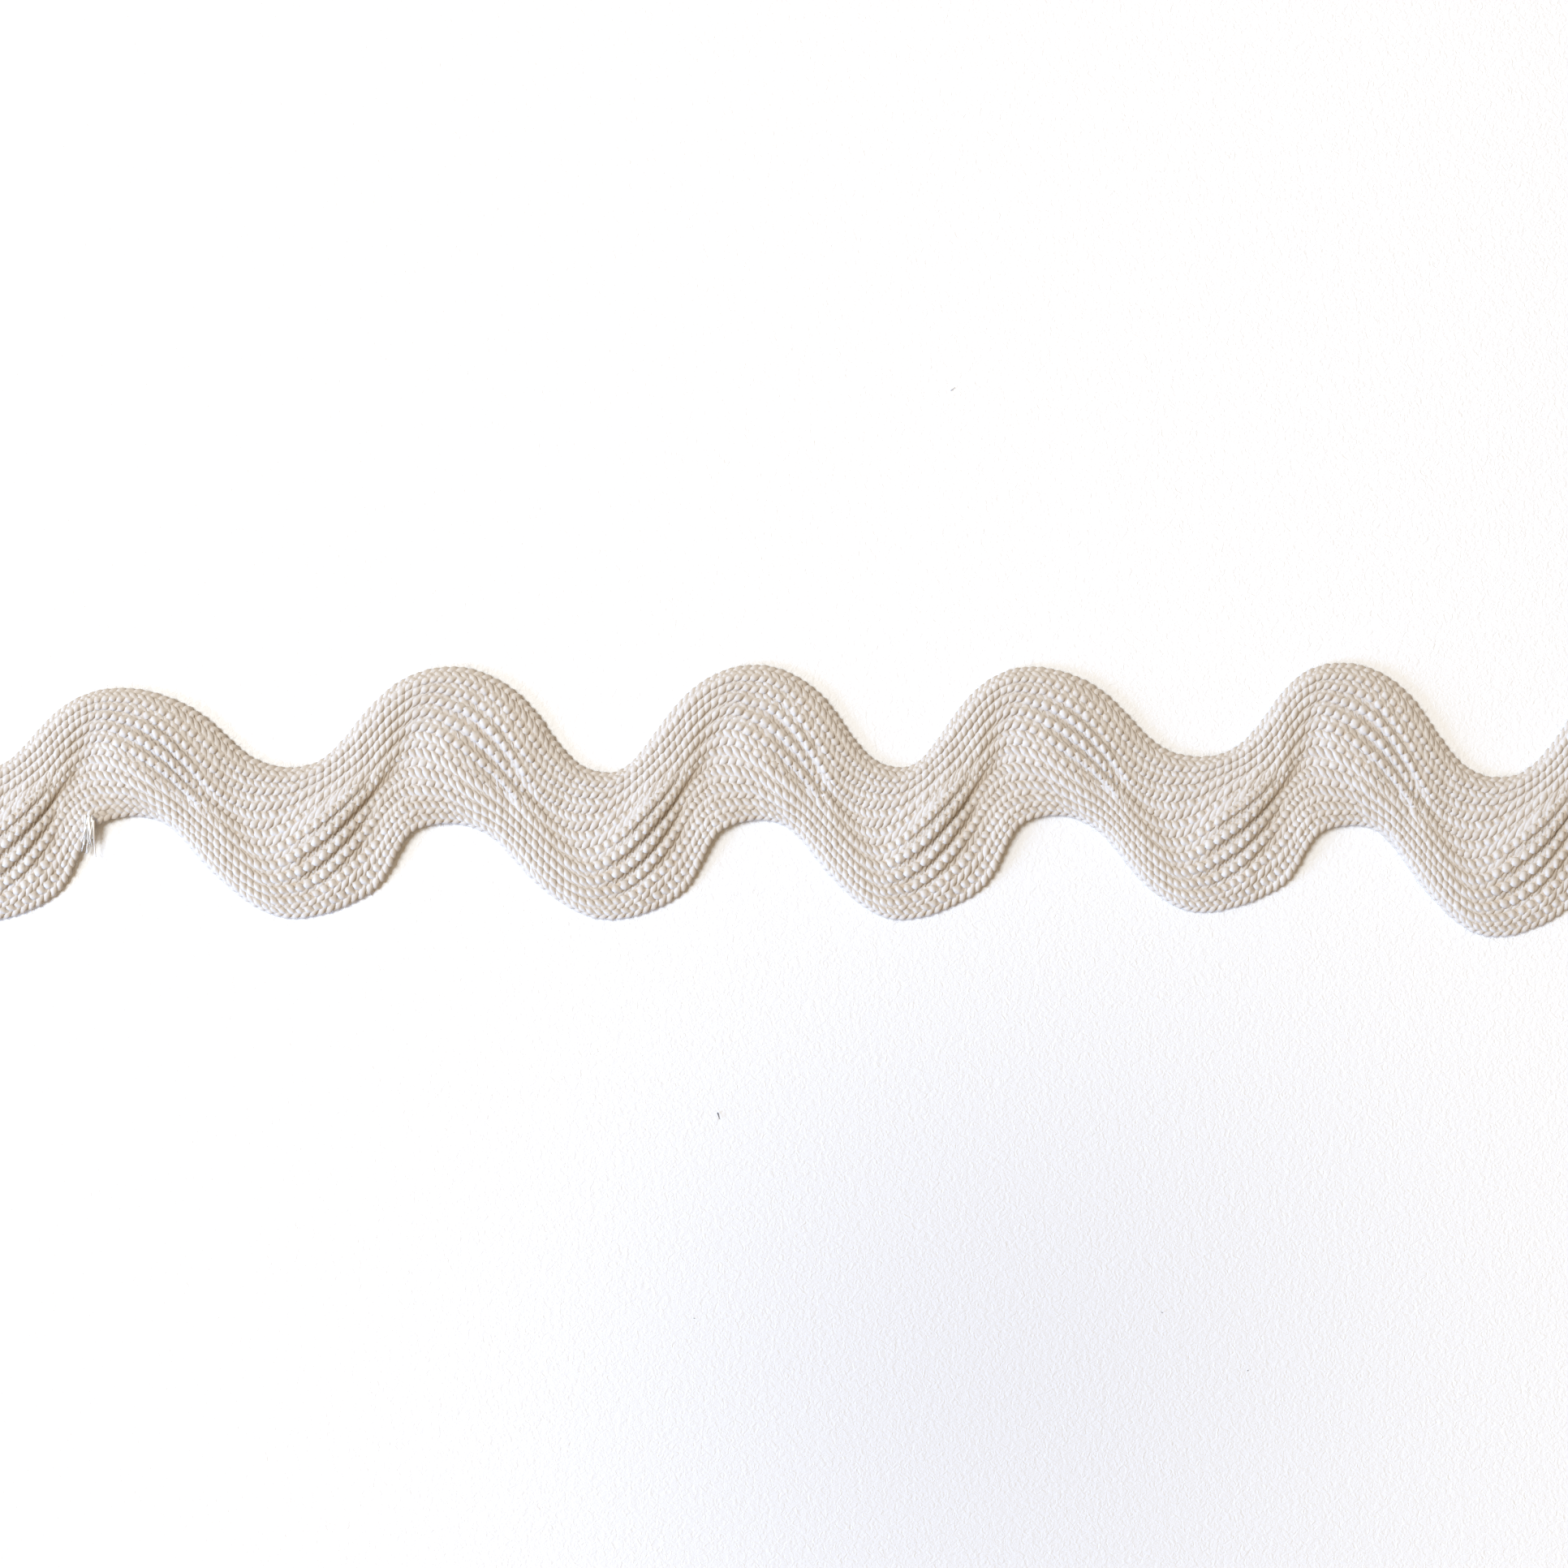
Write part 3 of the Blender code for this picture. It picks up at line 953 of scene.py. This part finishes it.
def make_specks():
    """The bits of fluff, each lying on the table."""
    parts = MeshParts()
    for speck in SPECKS:
        start = (*speck.start, speck.thickness)
        end = (*speck.end, speck.thickness)
        line = np.linspace(start, end, FIBRE_POINTS)
        add_fibre(parts, line, speck.thickness, speck.tone)
    material, tree, shader = new_material("fluff", 0.9)
    tone = add_node(tree, "ShaderNodeAttribute", attribute_name="tone").outputs["Fac"]
    colour = mix_colours(tree, tone, SPECK_DARK, SPECK_PALE)
    tree.links.new(colour, shader.inputs["Base Color"])
    parts.make("table_specks", material)


# The camera looks straight down. The photo shows this width of table, round this middle.
PHOTO_WIDTH = 235.3
PHOTO_MIDDLE = (-CENTRE_X, 1.34 - CENTRE_Y)
LENS = 50.0
SENSOR = 36.0


def make_camera():
    camera_data = bpy.data.cameras.new("camera")
    camera_data.lens = LENS
    camera_data.sensor_width = SENSOR
    camera = bpy.data.objects.new("camera", camera_data)
    height = PHOTO_WIDTH * LENS / SENSOR + CLOTH_MIDDLE
    camera.location = (PHOTO_MIDDLE[0] * MM, PHOTO_MIDDLE[1] * MM, height * MM)
    bpy.context.collection.objects.link(camera)
    bpy.context.scene.camera = camera


def add_area_light(name, azimuth, elevation, distance, size, power, colour):
    """A square light that looks at the strip. Azimuth turns from +X towards +Y, in degrees.

    distance and size are in metres.
    """
    light_data = bpy.data.lights.new(name, "AREA")
    light_data.size = size
    light_data.energy = power
    light_data.color = colour
    light = bpy.data.objects.new(name, light_data)
    turn = math.radians(azimuth)
    rise = math.radians(elevation)
    light.location = (
        distance * math.cos(turn) * math.cos(rise),
        distance * math.sin(turn) * math.cos(rise),
        distance * math.sin(rise),
    )
    light.rotation_euler = (math.radians(90.0) - rise, 0.0, turn + math.radians(90.0))
    bpy.context.collection.objects.link(light)


def make_lights():
    """A broad light from above on the left, a low bluish window and a warm room."""
    add_area_light(
        "ceiling",
        azimuth=156.0,
        elevation=55.0,
        distance=2.5,
        size=1.11,
        power=57.0,
        colour=(0.88, 0.955, 1.0),
    )
    add_area_light(
        "window",
        azimuth=203.0,
        elevation=12.0,
        distance=1.6,
        size=0.55,
        power=34.0,
        colour=(0.38, 0.60, 1.0),
    )
    world = bpy.data.worlds.new("room")
    world.use_nodes = True
    background = world.node_tree.nodes["Background"]
    background.inputs["Color"].default_value = (1.0, 0.73, 0.43, 1.0)
    background.inputs["Strength"].default_value = 0.42
    scene = bpy.context.scene
    scene.world = world
    scene.view_settings.view_transform = "Standard"


def dress_strip():
    """The yarns, core and fibres stand for the strip's solid."""
    rng = np.random.default_rng(RANDOM_SEED)
    yarns = make_yarns(yarn_material(), rng)
    core = make_core(core_material())
    fibres = [make_fibres(fibre_material(), rng), make_tuft(tuft_material(), rng)]
    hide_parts(STRIP_NODE)
    for piece in [core, *yarns, *fibres]:
        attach(piece, "root")


make_camera()
make_lights()
make_table()
make_specks()
dress_strip()
